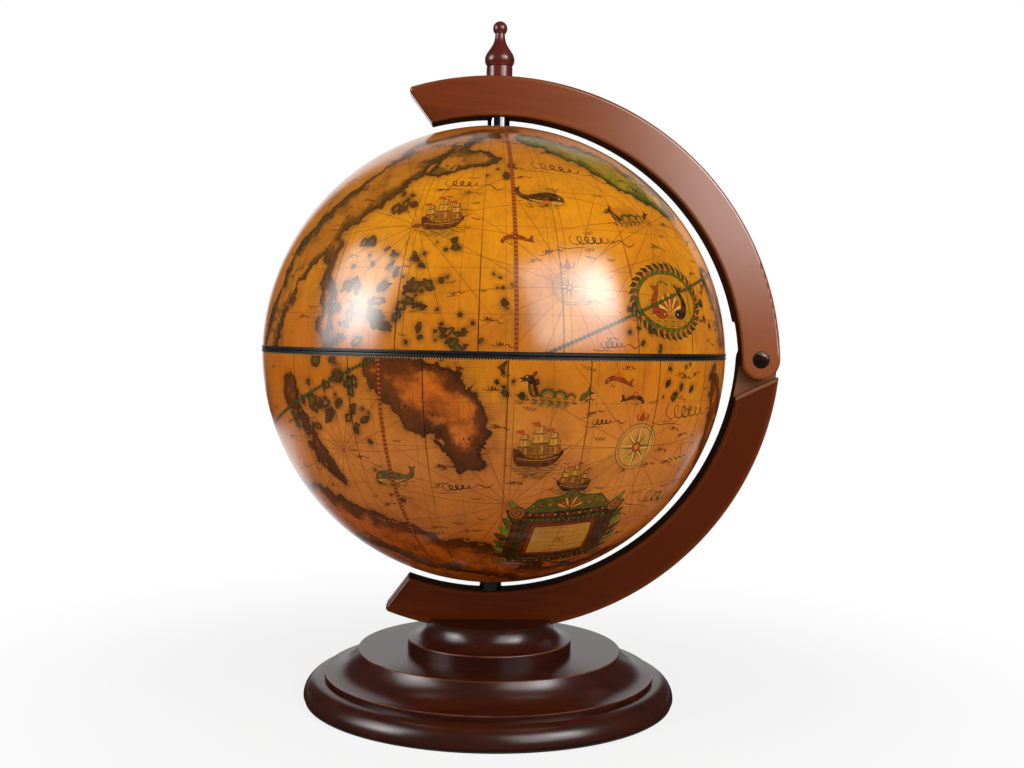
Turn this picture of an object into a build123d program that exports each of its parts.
"""Tabletop globe bar: a globe in two halves, held by two curved wooden arms on a turned base.

Millimetres, +Z up. The origin is the centre of the base's underside, on the table.
The arms lie in the XZ plane. Their hinge is at +X, and the open side of the globe faces -X.
Four bodies: the stand with the lower arm, the upper arm, the lid and the bowl.
"""
import os
from math import cos, radians, sin, sqrt

from build123d import *

os.makedirs("parts", exist_ok=True)

# ---- Base: felt, plinth, step and pedestal, from the table up -------------------------------
felt_t = 1.0
felt_inset = 1.1            # the felt's edge, inside the plinth's widest line
plinth_h = 15.0
plinth_r = 133.6            # widest radius, low on the quarter round
plinth_round = 13.0         # quarter round along the plinth's top edge
plinth_foot = 1.2           # small bevel under the plinth
step_h = 19.0
step_top_r = 95.0
step_rim_r = 118.7          # sharp rim at the foot of the step's cove
step_rim_h = 3.5
pedestal_h = 22.0
pedestal_top_r = 45.0
pedestal_cove = 14.4        # quarter-circle cove between the top and the flange
pedestal_flange_h = 7.4
base_edge_r = 0.8           # worn edge on the base's sharp corners

# ---- Globe ----------------------------------------------------------------------------------
globe_r = 165.0             # outside of the printed paper
paper_t = 0.5
shell_wall = 5.5
lid_trim = 4.4              # the lid is cut this far above its own equator
seam_gap = 0.4              # air between the two rims
rim_h = 1.9                 # height of each black rim band
rim_w = 8.0                 # radial width of each rim band
rim_proud = 0.3             # how far a band stands out of the paper
rim_edge_r = 0.6
pole_flat = 0.25            # flat on each shell's pole, under its washer

# ---- Arms -----------------------------------------------------------------------------------
arm_t = 20.0                # along Y
arm_w = 29.3                # across the arc
arm_side_gap = 13.7         # globe to arm, at the hinge side
arm_top_gap = 7.0           # globe to arm, at the upper pole
arm_bottom_gap = 7.35       # globe to arm, at the lower pole
arm_edge_r = 2.5            # rounded long edges
upper_tail = 47.1           # inner corner of the upper arm's free end, left of the axis
lower_tail = 59.0
tail_lean = 36.5            # slant of both free ends, from the vertical
tail_outer_r = 3.0
tail_inner_r = 1.0
arm_sink = 8.65             # lowest point of the lower arm, below the pedestal's top
arm_seat_flat = 3.0         # cut off the lowest point, so the arm seats flat in its slot
slot_clear = 0.1

# ---- Hinge: a half-lap joint with one bolt --------------------------------------------------
lap_gap = 1.0               # between the two laps, filled by a washer
shoulder_gap = 2.65         # rounded lap end to the other arm's shoulder
shoulder_slope = 25.2       # slant of both shoulders, from the horizontal
shoulder_bevel = 3.0
bevel_overcut = 1.0         # how far the bevel's cutter stands out of the arm
pivot_bolt_r = 3.0
pivot_head_r = 6.35
pivot_head_h = 4.5
pivot_bush_wall = 1.5
pivot_washer_r = 11.0
pivot_washer_play = 0.05
nut_across_flats = 10.0
nut_h = 5.0
nut_dome_r = 4.0
nut_washer_t = 1.2
nut_washer_r = 6.5
nut_bore_extra = 0.6        # air past the bolt's tip, inside the cap nut

# ---- Spindles: one shoulder bolt at each pole -----------------------------------------------
spindle_r = 4.0
spindle_thread_r = 3.0
spindle_thread_len = 13.0
spindle_head_r = 7.0
spindle_head_h = 6.0
spindle_bush_wall = 2.0
run_clear = 0.05            # radial clearance of a shaft that turns in a bush
end_play = 0.1              # axial clearance of a turning piece
hole_clear = 0.1            # radial clearance of a bolt that only passes through
sleeve_r = 8.0
sleeve_seat = 0.6           # depth of the sleeve's spot face in the arm
seat_washer_t = 0.8
pole_washer_r = 7.5
pole_washer_t = 1.2
thrust_washer_r = 9.0
boss_r = 24.0
boss_h = 10.0
spindle_insert_r = 6.0
spindle_insert_len = 12.0

# ---- Finial ---------------------------------------------------------------------------------
finial_seat = 0.3           # depth of the flat that the finial stands on
finial_collar_r = 9.35
finial_collar_h = 7.8
finial_groove = 0.6         # depth of the groove over the collar
finial_bulb_r = 10.7
finial_bulb_z = 12.9        # height of the bulb's widest line
finial_neck_r = 3.5
finial_neck_z = 31.3
finial_hollow = 1.0         # how much the stem is hollowed between bulb and neck
finial_ball_r = 5.2

# ---- Rack inside the bowl -------------------------------------------------------------------
rack_drop = 30.0            # top of the rack board, below the seam
rack_t = 6.0
rack_play = 1.0             # rack board and shelf to the bowl's wall
rack_edge_r = 1.5
bottle_hole_r = 46.0
glass_hole_r = 31.0
glass_web = 22.9            # wood between a glass hole and the rack board's edge
glass_count = 4
ledge_w = 10.0
ledge_h = 8.0
glass_depth = 55.0          # top of the glass shelf, below the top of the rack board
bottle_floor_gap = 3.7      # over the head of the lower spindle bolt
post_r = 6.0
post_waist = 1.6            # how much thinner a post is in the middle
rack_screw_r = 1.5
rack_screw_head_r = 3.0
rack_screw_len = 18.0

# ---- Fasteners of the stand -----------------------------------------------------------------
stand_bolt_x = 25.0
stand_bolt_r = 3.0
stand_head_r = 5.5
stand_head_h = 5.5
stand_bore_clear = 0.3
stand_washer_r = 7.5
stand_washer_t = 1.2
counterbore_r = 8.0
counterbore_h = 8.0
insert_wall = 1.5
insert_len = 12.0
insert_air = 2.0            # bolt's tip to the end of its insert
plinth_screw_ring_r = 80.0
plinth_screw_count = 4
plinth_screw_r = 2.0
plinth_screw_head_r = 4.0
plinth_screw_head_h = 3.0
plinth_screw_len = 27.0

# ---- Places worked out from the sizes above -------------------------------------------------
plinth_top = felt_t + plinth_h
step_top = plinth_top + step_h
pedestal_top = step_top + pedestal_h

arm_inner_r = globe_r + arm_side_gap
arm_outer_r = arm_inner_r + arm_w
arm_mid_r = arm_inner_r + arm_w / 2
arm_lowest_z = pedestal_top - arm_sink
arm_seat_z = arm_lowest_z + arm_seat_flat
lower_arc_z = arm_lowest_z + arm_outer_r
seam_z = lower_arc_z - arm_side_gap + arm_bottom_gap
lid_centre_z = seam_z - lid_trim
upper_arc_z = lid_centre_z + arm_top_gap - arm_side_gap

# The hinge stands where the middle lines of the two arms meet.
pivot_z = (upper_arc_z + lower_arc_z) / 2
pivot_x = sqrt(arm_mid_r**2 - (pivot_z - upper_arc_z) ** 2)
lap_r = arm_w / 2
shoulder_d = lap_r + shoulder_gap

shell_r = globe_r - paper_t
shell_inner_r = shell_r - shell_wall
lid_edge_z = seam_z + seam_gap / 2 + rim_h
bowl_edge_z = seam_z - seam_gap / 2 - rim_h
paper_hole_r = sleeve_r + 0.2
bush_r = spindle_r + run_clear + spindle_bush_wall

lid_flat_z = lid_centre_z + shell_r - pole_flat
lid_boss_z = lid_centre_z + shell_inner_r - boss_h
upper_seat_z = upper_arc_z + arm_inner_r + sleeve_seat
upper_head_z = lid_boss_z - pole_washer_t - end_play
finial_z = upper_arc_z + arm_outer_r - finial_seat

bowl_flat_z = seam_z - shell_r + pole_flat
bowl_boss_z = seam_z - shell_inner_r + boss_h
lower_seat_z = lower_arc_z - arm_inner_r - sleeve_seat
lower_head_z = bowl_boss_z + pole_washer_t + end_play

rack_top_z = seam_z - rack_drop
rack_z = rack_top_z - rack_t
shelf_top_z = rack_top_z - glass_depth
shelf_z = shelf_top_z - rack_t
bottle_floor_z = lower_head_z + spindle_head_h + bottle_floor_gap
bottle_floor_top_z = bottle_floor_z + rack_t
counterbore_top = felt_t + counterbore_h

CUT = 4 * arm_outer_r       # longer than anything here, for cutting blocks
CENTRE = ((0, 0),)


def places_on_ring(radius, count, start=0.0):
    """Evenly spaced places around the axis, from a start angle in degrees."""
    angles = [radians(start + 360 * i / count) for i in range(count)]
    return [(radius * cos(angle), radius * sin(angle)) for angle in angles]


def column(low, high, outer, inner=0.0, places=CENTRE, mode=Mode.ADD):
    """Add or cut a round bar or ring between two heights, at each of the places."""
    with BuildSketch(Plane.XY.offset(low)) as section:
        with Locations(*places):
            Circle(outer)
            if inner:
                Circle(inner, mode=Mode.SUBTRACT)
    extrude(section.sketch, amount=high - low, mode=mode)


def spherical(centre_z, outer, inner, low, high, hole, mode=Mode.ADD):
    """Turn the slice of a spherical wall that lies between two heights, outside a centre hole."""
    with BuildSketch(Plane.XZ) as section:
        with Locations((0, centre_z)):
            Circle(outer)
            if inner:
                Circle(inner, mode=Mode.SUBTRACT)
        with Locations((hole, low)):
            Rectangle(CUT, high - low, align=(Align.MIN, Align.MIN), mode=Mode.INTERSECT)
    revolve(section.sketch, axis=Axis.Z, mode=mode)


def save(part, name):
    """Label a finished piece and write its STEP file."""
    part.label = name
    export_step(part, f"parts/{name}.step")


# ---- Base -----------------------------------------------------------------------------------
stand_bolt_places = [(-stand_bolt_x, 0), (stand_bolt_x, 0)]
plinth_screw_places = places_on_ring(plinth_screw_ring_r, plinth_screw_count,
                                     180 / plinth_screw_count)
stand_bore_r = stand_bolt_r + stand_bore_clear
plinth_screw_tip = felt_t + plinth_screw_len

with BuildPart() as base_felt:
    column(0, felt_t, plinth_r - felt_inset)
save(base_felt.part, "base_felt")

with BuildPart() as plinth:
    round_r = plinth_r - plinth_round
    round_z = plinth_top - plinth_round
    with BuildSketch(Plane.XZ):
        with BuildLine():
            Polyline((round_r, plinth_top), (0, plinth_top), (0, felt_t),
                     (plinth_r - plinth_foot, felt_t), (plinth_r, round_z))
            CenterArc((round_r, round_z), plinth_round, 0, 90)
        make_face()
    revolve(axis=Axis.Z)
    column(felt_t, counterbore_top, counterbore_r, places=stand_bolt_places, mode=Mode.SUBTRACT)
    column(felt_t, plinth_top, stand_bore_r, places=stand_bolt_places, mode=Mode.SUBTRACT)
    with Locations(*[(x, y, felt_t) for x, y in plinth_screw_places]):
        Cone(plinth_screw_head_r, plinth_screw_r, plinth_screw_head_h,
             align=(Align.CENTER, Align.CENTER, Align.MIN), mode=Mode.SUBTRACT)
    column(felt_t, plinth_top, plinth_screw_r, places=plinth_screw_places, mode=Mode.SUBTRACT)
save(plinth.part, "plinth")

with BuildPart() as base_step:
    cove_z = plinth_top + step_rim_h
    cove_w = step_rim_r - step_top_r
    cove_h = step_top - cove_z
    # The cove is level where it meets the rim, and its radius follows from its two ends.
    cove_r = (cove_w**2 + cove_h**2) / (2 * cove_h)
    with BuildSketch(Plane.XZ):
        with BuildLine():
            Polyline((step_top_r, step_top), (0, step_top), (0, plinth_top),
                     (step_rim_r, plinth_top), (step_rim_r, cove_z))
            RadiusArc((step_rim_r, cove_z), (step_top_r, step_top), cove_r)
        make_face()
    revolve(axis=Axis.Z)
    fillet(base_step.faces().sort_by(Axis.Z)[-1].edges(), base_edge_r)
    column(plinth_top, step_top, stand_bore_r, places=stand_bolt_places, mode=Mode.SUBTRACT)
    column(plinth_top, plinth_screw_tip, plinth_screw_r, places=plinth_screw_places,
           mode=Mode.SUBTRACT)
save(base_step.part, "base_step")

with BuildPart() as pedestal:
    flange_z = step_top + pedestal_flange_h
    flange_r = pedestal_top_r + pedestal_cove
    cove_top = flange_z + pedestal_cove
    with BuildSketch(Plane.XZ):
        with BuildLine():
            CenterArc((flange_r, cove_top), pedestal_cove, 180, 90)
            Polyline((flange_r, flange_z), (flange_r, step_top), (0, step_top),
                     (0, pedestal_top), (pedestal_top_r, pedestal_top),
                     (pedestal_top_r, cove_top))
        make_face()
    revolve(axis=Axis.Z)
    fillet(pedestal.edges().filter_by(GeomType.CIRCLE).filter_by_position(
        Axis.Z, flange_z - base_edge_r, flange_z + base_edge_r), base_edge_r)
    with BuildSketch(Plane.XY.offset(arm_seat_z)):
        Rectangle(CUT, arm_t + 2 * slot_clear)
    extrude(amount=pedestal_h, mode=Mode.SUBTRACT)
    column(step_top, arm_seat_z, stand_bore_r, places=stand_bolt_places, mode=Mode.SUBTRACT)
save(pedestal.part, "pedestal")

with BuildPart() as plinth_screws:
    column(felt_t, plinth_screw_tip, plinth_screw_r, places=plinth_screw_places)
    with Locations(*[(x, y, felt_t) for x, y in plinth_screw_places]):
        Cone(plinth_screw_head_r, plinth_screw_r, plinth_screw_head_h,
             align=(Align.CENTER, Align.CENTER, Align.MIN))
save(plinth_screws.part, "plinth_screws")

stand_washer_z = counterbore_top - stand_washer_t
with BuildPart() as stand_bolts:
    column(stand_washer_z - stand_head_h, stand_washer_z, stand_head_r, places=stand_bolt_places)
    with BuildSketch(Plane.XY.offset(stand_washer_z - stand_head_h)):
        with Locations(*stand_bolt_places):
            RegularPolygon(stand_bolt_r, 6)
    extrude(amount=stand_head_h / 2, mode=Mode.SUBTRACT)
    column(stand_washer_z, arm_seat_z + insert_len - insert_air, stand_bolt_r,
           places=stand_bolt_places)
save(stand_bolts.part, "stand_bolts")

with BuildPart() as stand_washers:
    column(stand_washer_z, counterbore_top, stand_washer_r, stand_bore_r, stand_bolt_places)
save(stand_washers.part, "stand_washers")

with BuildPart() as arm_inserts:
    column(arm_seat_z, arm_seat_z + insert_len, stand_bolt_r + insert_wall, stand_bolt_r,
           stand_bolt_places)
save(arm_inserts.part, "arm_inserts")

# ---- Arms: two arcs that meet in a half-lap joint at the hinge ------------------------------
pivot = Vector(pivot_x, 0, pivot_z)


def arm_blank(arc_z, side, tail):
    """Full-thickness arm. side is 1 for the upper arm and -1 for the lower one."""
    centre = Vector(0, arc_z)
    hinge = Vector(pivot_x, pivot_z)
    out = (hinge - centre).normalized()
    past_hinge = Vector(out.Y, -out.X) * side
    inner_end = Vector(-tail, arc_z + side * sqrt(arm_inner_r**2 - tail**2))
    slant = Vector(-sin(radians(tail_lean)), side * cos(radians(tail_lean)))
    reach = slant.dot(inner_end - centre)
    end_w = sqrt(reach**2 + arm_outer_r**2 - arm_inner_r**2) - reach
    outer_end = inner_end + slant * end_w
    crown = Vector(0, side)
    with BuildSketch(Plane.XZ) as outline:
        with BuildLine():
            ThreePointArc(outer_end, centre + crown * arm_outer_r, centre + out * arm_outer_r)
            ThreePointArc(centre + out * arm_outer_r, hinge + past_hinge * lap_r,
                          centre + out * arm_inner_r)
            ThreePointArc(centre + out * arm_inner_r, centre + crown * arm_inner_r, inner_end)
            Line(inner_end, outer_end)
        make_face()
        fillet(outline.vertices().sort_by(Axis.X)[0], tail_outer_r)
        fillet(outline.vertices().sort_by_distance(inner_end)[0], tail_inner_r)
    extrude(outline.sketch, amount=arm_t / 2, both=True)


def cut_lap(side):
    """Cut away half of an arm's thickness past its slanted, bevelled shoulder."""
    slope = radians(shoulder_slope)
    outward = Vector(cos(slope), 0, -side * sin(slope))
    lap_side = Vector(0, side, 0)
    shoulder = Plane(pivot, x_dir=outward, z_dir=lap_side)
    with BuildSketch(shoulder.offset(-lap_gap / 2)) as past_shoulder:
        with Locations((0, -shoulder_d)):
            Rectangle(4 * arm_w, 4 * arm_w, align=(Align.CENTER, Align.MIN))
    extrude(past_shoulder.sketch, amount=arm_t, mode=Mode.SUBTRACT)
    corner = pivot - shoulder.y_dir * shoulder_d + lap_side * (arm_t / 2)
    across = Plane(corner, x_dir=lap_side, z_dir=lap_side.cross(-shoulder.y_dir))
    with BuildSketch(across) as bevel:
        Polygon((-shoulder_bevel - bevel_overcut, -bevel_overcut),
                (bevel_overcut, -bevel_overcut),
                (bevel_overcut, shoulder_bevel + bevel_overcut), align=None)
    extrude(bevel.sketch, amount=2 * arm_w, both=True, mode=Mode.SUBTRACT)


def pivot_bar(front, back, outer, inner=0.0, mode=Mode.ADD):
    """Add or cut a round bar or ring on the hinge's axis, between two places along Y."""
    with BuildSketch(Plane(pivot + Vector(0, front, 0), z_dir=(0, 1, 0))) as section:
        Circle(outer)
        if inner:
            Circle(inner, mode=Mode.SUBTRACT)
    extrude(section.sketch, amount=back - front, mode=mode)


lower_insert_top = arm_seat_z + spindle_insert_len
with BuildPart() as lower_arm:
    arm_blank(lower_arc_z, -1, lower_tail)
    fillet(lower_arm.faces().filter_by(Axis.Y).edges(), arm_edge_r)
    cut_lap(-1)
    with BuildSketch(Plane.XY.offset(arm_seat_z)):
        Rectangle(CUT, CUT)
    extrude(amount=-arm_w, mode=Mode.SUBTRACT)
    pivot_bar(0, arm_t, pivot_bolt_r, mode=Mode.SUBTRACT)
    column(lower_seat_z, pedestal_top + arm_w, sleeve_r + slot_clear, mode=Mode.SUBTRACT)
    column(arm_seat_z, lower_seat_z, spindle_r + hole_clear, mode=Mode.SUBTRACT)
    column(arm_seat_z, lower_insert_top, spindle_insert_r, mode=Mode.SUBTRACT)
    column(arm_seat_z, arm_seat_z + insert_len, stand_bolt_r + insert_wall,
           places=stand_bolt_places, mode=Mode.SUBTRACT)
save(lower_arm.part, "lower_arm")

with BuildPart() as upper_arm:
    arm_blank(upper_arc_z, 1, upper_tail)
    fillet(upper_arm.faces().filter_by(Axis.Y).edges(), arm_edge_r)
    cut_lap(1)
    pivot_bar(-arm_t, 0, pivot_bolt_r + run_clear + pivot_bush_wall, mode=Mode.SUBTRACT)
    column(upper_seat_z - arm_w / 2, upper_seat_z, sleeve_r + slot_clear, mode=Mode.SUBTRACT)
    column(upper_seat_z, finial_z, spindle_r + hole_clear, mode=Mode.SUBTRACT)
    column(finial_z, finial_z + arm_w, finial_collar_r + slot_clear, mode=Mode.SUBTRACT)
save(upper_arm.part, "upper_arm")

# ---- Hinge hardware -------------------------------------------------------------------------
arm_face = arm_t / 2
lap_face = lap_gap / 2
nut_y = arm_face + nut_washer_t
bolt_tip_y = nut_y + nut_h

with BuildPart() as pivot_bolt:
    head_y = -arm_face - end_play
    dome_r = (pivot_head_r**2 + pivot_head_h**2) / (2 * pivot_head_h)
    with BuildSketch(Plane.XY):
        with BuildLine():
            RadiusArc((0, head_y - pivot_head_h), (pivot_head_r, head_y), dome_r)
            Polyline((pivot_head_r, head_y), (pivot_bolt_r, head_y), (pivot_bolt_r, bolt_tip_y),
                     (0, bolt_tip_y), (0, head_y - pivot_head_h))
        make_face()
    revolve(axis=Axis.Y)
pivot_bolt_piece = pivot_bolt.part.moved(Location((pivot_x, 0, pivot_z)))
save(pivot_bolt_piece, "pivot_bolt")

with BuildPart() as pivot_bush:
    pivot_bar(-arm_face, -lap_face, pivot_bolt_r + run_clear + pivot_bush_wall,
              pivot_bolt_r + run_clear)
save(pivot_bush.part, "pivot_bush")

with BuildPart() as pivot_washer:
    pivot_bar(pivot_washer_play - lap_face, lap_face, pivot_washer_r, pivot_bolt_r)
save(pivot_washer.part, "pivot_washer")

with BuildPart() as pivot_nut_washer:
    pivot_bar(arm_face, nut_y, nut_washer_r, pivot_bolt_r)
save(pivot_nut_washer.part, "pivot_nut_washer")

with BuildPart() as pivot_cap_nut:
    nut_end = bolt_tip_y + nut_bore_extra
    with BuildSketch(Plane(pivot + Vector(0, nut_y, 0), z_dir=(0, 1, 0))):
        RegularPolygon(nut_across_flats / 2, 6, major_radius=False)
    extrude(amount=nut_h)
    with Locations(Location(pivot + Vector(0, bolt_tip_y, 0))):
        Sphere(nut_dome_r)
    pivot_bar(nut_y, nut_end, pivot_bolt_r, mode=Mode.SUBTRACT)
save(pivot_cap_nut.part, "pivot_cap_nut")

# ---- Spindles -------------------------------------------------------------------------------
upper_sleeve_z = lid_flat_z + pole_washer_t + end_play
lower_sleeve_top = bowl_flat_z - pole_washer_t - end_play

with BuildPart() as upper_spindle_bolt:
    column(upper_head_z - spindle_head_h, upper_head_z, spindle_head_r)
    fillet(upper_spindle_bolt.edges().sort_by(Axis.Z)[0], base_edge_r)
    column(upper_head_z, finial_z, spindle_r)
    column(finial_z, finial_z + spindle_thread_len, spindle_thread_r)
save(upper_spindle_bolt.part, "upper_spindle_bolt")

with BuildPart() as upper_spindle_sleeve:
    column(upper_sleeve_z, upper_seat_z, sleeve_r, spindle_r)
save(upper_spindle_sleeve.part, "upper_spindle_sleeve")

with BuildPart() as lower_spindle_bolt:
    column(lower_head_z, lower_head_z + spindle_head_h, spindle_head_r)
    fillet(lower_spindle_bolt.edges().sort_by(Axis.Z)[-1], base_edge_r)
    column(lower_insert_top, lower_head_z, spindle_r)
    column(arm_seat_z, lower_insert_top, spindle_thread_r)
save(lower_spindle_bolt.part, "lower_spindle_bolt")

with BuildPart() as lower_seat_washer:
    column(lower_seat_z, lower_seat_z + seat_washer_t, sleeve_r, spindle_r)
save(lower_seat_washer.part, "lower_seat_washer")

with BuildPart() as lower_spindle_sleeve:
    column(lower_seat_z + seat_washer_t, lower_sleeve_top, sleeve_r, spindle_r)
save(lower_spindle_sleeve.part, "lower_spindle_sleeve")

with BuildPart() as lower_spindle_insert:
    column(arm_seat_z, lower_insert_top, spindle_insert_r, spindle_thread_r)
save(lower_spindle_insert.part, "lower_spindle_insert")

# ---- Finial: a turned nut that clamps the upper spindle bolt --------------------------------
with BuildPart() as finial:
    collar_z = finial_z + finial_collar_h
    bulb_z = finial_z + finial_bulb_z
    neck_z = finial_z + finial_neck_z
    ball_z = neck_z + sqrt(finial_ball_r**2 - finial_neck_r**2)
    groove_r = finial_collar_r - finial_groove
    waist_r = (finial_bulb_r + finial_neck_r) / 2
    waist_z = (bulb_z + neck_z) / 2
    with BuildSketch(Plane.XZ):
        with BuildLine():
            Polyline((groove_r, collar_z), (finial_collar_r, collar_z - finial_groove),
                     (finial_collar_r, finial_z), (0, finial_z), (0, ball_z + finial_ball_r))
            ThreePointArc((0, ball_z + finial_ball_r), (finial_ball_r, ball_z),
                          (finial_neck_r, neck_z))
            Spline((finial_neck_r, neck_z), (waist_r - finial_hollow, waist_z), (finial_bulb_r, bulb_z),
                   (groove_r, collar_z), tangents=((0, -1), (-1, -1)))
        make_face()
    revolve(axis=Axis.Z)
    column(finial_z, finial_z + spindle_thread_len, spindle_thread_r, mode=Mode.SUBTRACT)
save(finial.part, "finial")

# ---- Lid: the upper half of the globe -------------------------------------------------------
lid_top = lid_centre_z + globe_r
bush_bore_r = spindle_r + run_clear


def rim_band(low):
    """The plain band that closes the edge of one half of the globe."""
    outer = globe_r + rim_proud
    column(low, low + rim_h, outer, outer - rim_w)


with BuildPart() as lid_shell:
    spherical(lid_centre_z, shell_r, shell_inner_r, lid_edge_z, lid_flat_z, bush_r)
save(lid_shell.part, "lid_shell")

with BuildPart() as lid_gores:
    spherical(lid_centre_z, globe_r, shell_r, lid_edge_z, lid_top, paper_hole_r)
save(lid_gores.part, "lid_gores")

with BuildPart() as lid_rim_band:
    rim_band(seam_z + seam_gap / 2)
    fillet(lid_rim_band.faces().sort_by(SortBy.AREA)[-1].edges(), rim_edge_r)
save(lid_rim_band.part, "lid_rim_band")

with BuildPart() as lid_pole_boss:
    spherical(lid_centre_z, shell_inner_r, 0, lid_boss_z, lid_top, bush_r)
    column(0, lid_top, CUT, boss_r, mode=Mode.SUBTRACT)
save(lid_pole_boss.part, "lid_pole_boss")

with BuildPart() as lid_bush:
    column(lid_boss_z, lid_flat_z, bush_r, bush_bore_r)
save(lid_bush.part, "lid_bush")

with BuildPart() as lid_pole_washer:
    column(lid_flat_z, lid_flat_z + pole_washer_t, pole_washer_r, bush_bore_r)
save(lid_pole_washer.part, "lid_pole_washer")

with BuildPart() as lid_thrust_washer:
    column(lid_boss_z - pole_washer_t, lid_boss_z, thrust_washer_r, bush_bore_r)
save(lid_thrust_washer.part, "lid_thrust_washer")

# ---- Bowl: the lower half of the globe ------------------------------------------------------
bowl_bottom = seam_z - globe_r

with BuildPart() as bowl_shell:
    spherical(seam_z, shell_r, shell_inner_r, bowl_flat_z, bowl_edge_z, bush_r)
save(bowl_shell.part, "bowl_shell")

with BuildPart() as bowl_gores:
    spherical(seam_z, globe_r, shell_r, bowl_bottom, bowl_edge_z, paper_hole_r)
save(bowl_gores.part, "bowl_gores")

with BuildPart() as bowl_rim_band:
    rim_band(bowl_edge_z)
    fillet(bowl_rim_band.faces().sort_by(SortBy.AREA)[-1].edges(), rim_edge_r)
save(bowl_rim_band.part, "bowl_rim_band")

with BuildPart() as bowl_pole_boss:
    spherical(seam_z, shell_inner_r, 0, bowl_bottom, bowl_boss_z, bush_r)
    column(0, seam_z, CUT, boss_r, mode=Mode.SUBTRACT)
save(bowl_pole_boss.part, "bowl_pole_boss")

with BuildPart() as bowl_bush:
    column(bowl_flat_z, bowl_boss_z, bush_r, bush_bore_r)
save(bowl_bush.part, "bowl_bush")

with BuildPart() as bowl_pole_washer:
    column(bowl_flat_z - pole_washer_t, bowl_flat_z, pole_washer_r, bush_bore_r)
save(bowl_pole_washer.part, "bowl_pole_washer")

with BuildPart() as bowl_thrust_washer:
    column(bowl_boss_z, bowl_boss_z + pole_washer_t, thrust_washer_r, bush_bore_r)
save(bowl_thrust_washer.part, "bowl_thrust_washer")

# ---- Rack inside the bowl -------------------------------------------------------------------
def bowl_wall_r(z):
    """Radius of the bowl's inner wall at a height."""
    return sqrt(shell_inner_r**2 - (z - seam_z) ** 2)


rack_r = bowl_wall_r(rack_z) - rack_play
glass_ring_r = rack_r - glass_web - glass_hole_r
glass_places = places_on_ring(glass_ring_r, glass_count, 180 / glass_count)
post_places = places_on_ring(glass_ring_r, glass_count)

with BuildPart() as rack_ledge:
    spherical(seam_z, shell_inner_r, 0, rack_z - ledge_h, rack_z, bowl_wall_r(rack_z) - ledge_w)
save(rack_ledge.part, "rack_ledge")

with BuildPart() as rack_board:
    column(rack_z, rack_top_z, rack_r)
    column(rack_z, rack_top_z, bottle_hole_r, mode=Mode.SUBTRACT)
    column(rack_z, rack_top_z, glass_hole_r, places=glass_places, mode=Mode.SUBTRACT)
    fillet(rack_board.faces().sort_by(Axis.Z)[-1].edges(), rack_edge_r)
    column(rack_z, rack_top_z, rack_screw_r, places=post_places, mode=Mode.SUBTRACT)
    column(rack_top_z - rack_screw_r, rack_top_z, rack_screw_head_r, places=post_places,
           mode=Mode.SUBTRACT)
save(rack_board.part, "rack_board")

with BuildPart() as glass_shelf:
    column(shelf_z, shelf_top_z, bowl_wall_r(shelf_z) - rack_play, bottle_hole_r)
    fillet(glass_shelf.faces().sort_by(Axis.Z)[-1].edges(), rack_edge_r)
    column(shelf_z, shelf_top_z, rack_screw_r, places=post_places, mode=Mode.SUBTRACT)
    column(shelf_z, shelf_z + rack_screw_r, rack_screw_head_r, places=post_places,
           mode=Mode.SUBTRACT)
save(glass_shelf.part, "glass_shelf")

with BuildPart() as rack_posts:
    post_h = rack_z - shelf_top_z
    with BuildSketch(Plane.XZ):
        with BuildLine():
            Polyline((post_r, rack_z), (0, rack_z), (0, shelf_top_z), (post_r, shelf_top_z))
            ThreePointArc((post_r, shelf_top_z), (post_r - post_waist, shelf_top_z + post_h / 2),
                          (post_r, rack_z))
        make_face()
    revolve(axis=Axis.Z)
    screw_depth = rack_screw_len - rack_t
    column(rack_z - screw_depth, rack_z, rack_screw_r, mode=Mode.SUBTRACT)
    column(shelf_top_z, shelf_top_z + screw_depth, rack_screw_r, mode=Mode.SUBTRACT)
turned_post = rack_posts.part
rack_posts_piece = Compound([turned_post.moved(Location((x, y, 0))) for x, y in post_places])
save(rack_posts_piece, "rack_posts")

with BuildPart() as rack_screws:
    column(rack_z - screw_depth, rack_top_z, rack_screw_r, places=post_places)
    column(rack_top_z - rack_screw_r, rack_top_z, rack_screw_head_r, places=post_places)
    column(shelf_z, shelf_top_z + screw_depth, rack_screw_r, places=post_places)
    column(shelf_z, shelf_z + rack_screw_r, rack_screw_head_r, places=post_places)
save(rack_screws.part, "rack_screws")

with BuildPart() as bottle_floor:
    spherical(seam_z, shell_inner_r, 0, bottle_floor_z, bottle_floor_top_z, 0)
save(bottle_floor.part, "bottle_floor")
